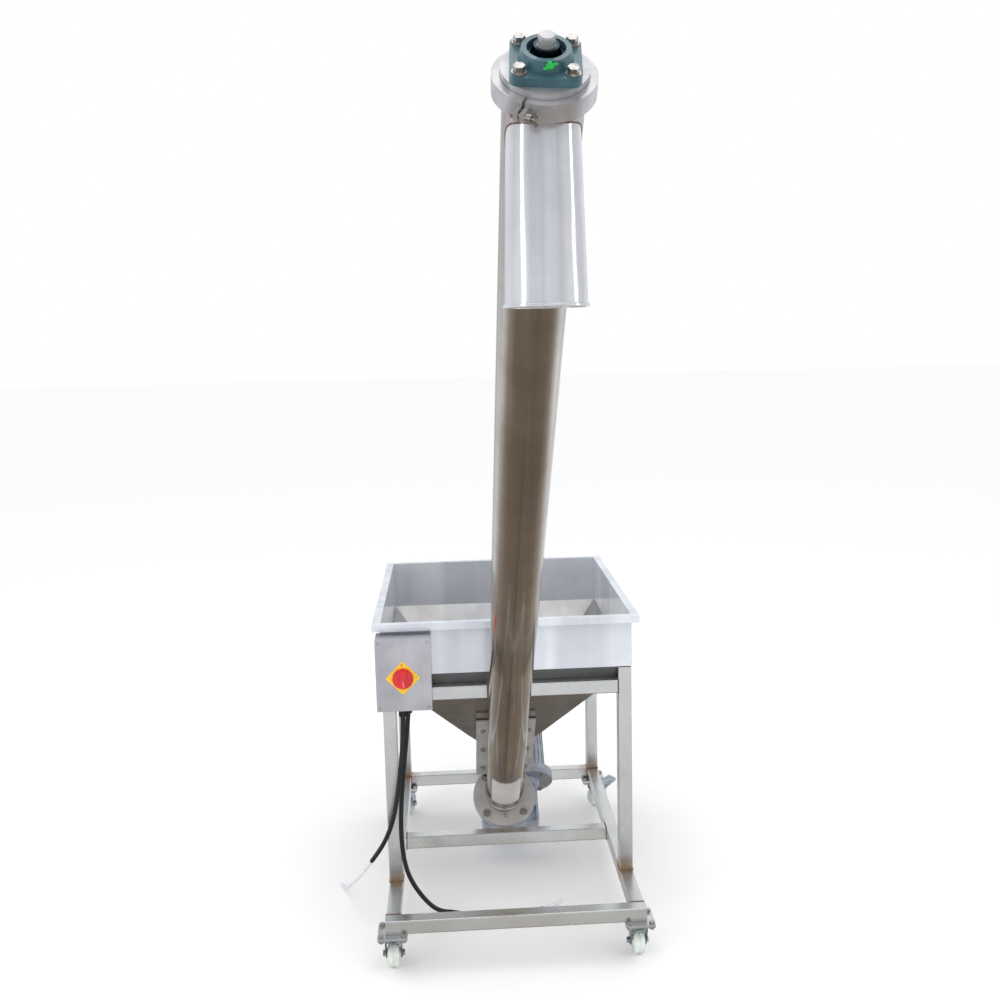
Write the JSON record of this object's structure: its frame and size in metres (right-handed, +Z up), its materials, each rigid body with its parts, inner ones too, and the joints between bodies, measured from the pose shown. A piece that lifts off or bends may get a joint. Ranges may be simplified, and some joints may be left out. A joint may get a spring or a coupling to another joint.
{
  "type": "inclined grain auger",
  "caption": "Castered inclined screw auger: floor hopper feeding a tilted tube with a clamped head, a discharge spout, a worm gearmotor and a switch box.",
  "frame": {"origin": "on the floor under the middle of the outline of everything but the two loose cables", "axes": "+Z up, +Y towards the motor end, so the tube rises towards -Y; +X to the right seen from the spout end"},
  "size_m": [0.947, 2.2924, 2.0858],
  "materials": {
    "bearing_steel": "ground",
    "bearing_teal": "semi gloss",
    "box_steel": "brushed",
    "bronze": "machined",
    "cable_white": "satin",
    "cast_aluminium": "as cast",
    "fastener_steel": "bright",
    "frame_stainless": "satin brushed",
    "hopper_stainless": "bright brushed",
    "iron_dark": "machined",
    "knob_red": "gloss",
    "motor_grey": "satin",
    "plastic_black": "satin",
    "plate_yellow": "satin",
    "rubber_black": "matt",
    "screw_stainless": "satin",
    "sleeve_black": "satin",
    "tube_stainless": "polished",
    "wheel_white": "satin",
    "zinc_steel": "zinc plated"
  },
  "bodies": {
    "frame": {"auger_tube": "tube_stainless", "base_rails": "frame_stainless", "bearing_bolts": "fastener_steel", "bearing_housing": "bearing_teal", "bearing_outer_ring": "bearing_steel", "cable_glands": "plastic_black", "cable_left": "sleeve_black", "cable_left_end": "cable_white", "cable_right": "sleeve_black", "cable_right_end": "cable_white", "caster_balls": "bearing_steel", "caster_bolts": "fastener_steel", "caster_plates": "zinc_steel", "chute_bolts": "fastener_steel", "clamp_bolt": "fastener_steel", "clamp_ring": "tube_stainless", "cleanout_band": "fastener_steel", "cleanout_cover": "tube_stainless", "control_box": "box_steel", "control_cover": "box_steel", "cover_screws": "fastener_steel", "discharge_spout": "tube_stainless", "end_cap": "tube_stainless", "flange_bolts": "fastener_steel", "frame_plates": "frame_stainless", "gearbox_covers": "plastic_black", "gearbox_housing": "cast_aluminium", "hopper_chute": "hopper_stainless", "hopper_rim": "hopper_stainless", "hopper_slopes": "hopper_stainless", "hopper_walls": "hopper_stainless", "inlet_saddle": "tube_stainless", "legs": "frame_stainless", "motor_body": "motor_grey", "motor_fan_cover": "motor_grey", "motor_stator": "iron_dark", "motor_terminal_box": "motor_grey", "rubber_seals": "rubber_black", "switch_body": "plastic_black", "switch_plate": "plate_yellow", "tube_flanges": "tube_stainless", "upper_rails": "frame_stainless"},
    "screw": {"screw_shaft": "screw_stainless", "screw_flight": "screw_stainless", "worm_wheel": "bronze", "bearing_inner_ring": "bearing_steel"},
    "motor_shaft": {"motor_rotor": "iron_dark", "motor_fan": "plastic_black", "worm": "iron_dark"},
    "switch": {"switch_knob": "knob_red"},
    "clamp_nut": {"clamp_wing_nut": "fastener_steel"},
    "brake": {"brake_pedal": "zinc_steel"},
    "swivel_front_left": {"caster_fork_front_left": "zinc_steel"},
    "wheel_front_left": {"caster_wheel_front_left": "wheel_white"},
    "swivel_front_right": {"caster_fork_front_right": "zinc_steel"},
    "wheel_front_right": {"caster_wheel_front_right": "wheel_white"},
    "swivel_rear_left": {"caster_fork_rear_left": "zinc_steel"},
    "wheel_rear_left": {"caster_wheel_rear_left": "wheel_white"},
    "swivel_rear_right": {"caster_fork_rear_right": "zinc_steel"},
    "wheel_rear_right": {"caster_wheel_rear_right": "wheel_white"}
  },
  "joints": [
    {"name": "screw_spin", "type": "hinge", "parent": "frame", "child": "screw", "pos_m": [-0.02499, -0.11837, 1.06066], "axis": [0, -0.7071, 0.7071], "continuous": true},
    {"name": "motor_spin", "type": "hinge", "parent": "frame", "child": "motor_shaft", "pos_m": [0.04501, 0.81501, 0.12728], "axis": [0, 0.7071, 0.7071], "continuous": true},
    {"name": "switch_turn", "type": "hinge", "parent": "frame", "child": "switch", "pos_m": [-0.31199, 0.25328, 0.775], "axis": [0, -1, 0], "range_deg": [-90, 0]},
    {"name": "wing_nut_turn", "type": "hinge", "parent": "frame", "child": "clamp_nut", "pos_m": [-0.06198, -1.13033, 1.96992], "axis": [0.891, -0.321, -0.321], "continuous": true},
    {"name": "swivel_front_left", "type": "hinge", "parent": "frame", "child": "swivel_front_left", "pos_m": [-0.35798, 0.13628, 0.095], "axis": [0, 0, 1], "continuous": true},
    {"name": "roll_front_left", "type": "hinge", "parent": "swivel_front_left", "child": "wheel_front_left", "pos_m": [-0.35798, 0.15629, 0.0375], "axis": [1, 0, 0], "continuous": true},
    {"name": "swivel_front_right", "type": "hinge", "parent": "frame", "child": "swivel_front_right", "pos_m": [0.30801, 0.13628, 0.095], "axis": [0, 0, 1], "continuous": true},
    {"name": "roll_front_right", "type": "hinge", "parent": "swivel_front_right", "child": "wheel_front_right", "pos_m": [0.30801, 0.15629, 0.0375], "axis": [1, 0, 0], "continuous": true},
    {"name": "swivel_rear_left", "type": "hinge", "parent": "frame", "child": "swivel_rear_left", "pos_m": [-0.35798, 1.08329, 0.095], "axis": [0, 0, 1], "continuous": true},
    {"name": "roll_rear_left", "type": "hinge", "parent": "swivel_rear_left", "child": "wheel_rear_left", "pos_m": [-0.35114, 1.10208, 0.0375], "axis": [0.9397, -0.342, 0], "continuous": true},
    {"name": "swivel_rear_right", "type": "hinge", "parent": "frame", "child": "swivel_rear_right", "pos_m": [0.30801, 1.08329, 0.095], "axis": [0, 0, 1], "continuous": true},
    {"name": "roll_rear_right", "type": "hinge", "parent": "swivel_rear_right", "child": "wheel_rear_right", "pos_m": [0.32534, 1.09329, 0.0375], "axis": [0.5, -0.866, 0], "continuous": true},
    {"name": "brake_press", "type": "hinge", "parent": "swivel_rear_right", "child": "brake", "pos_m": [0.34865, 1.10675, 0.07039], "axis": [0.5, -0.866, 0], "range_deg": [-12, 0]}
  ],
  "couplings": [
    {"joint": "motor_spin", "follows": "screw_spin", "ratio": 30}
  ]
}
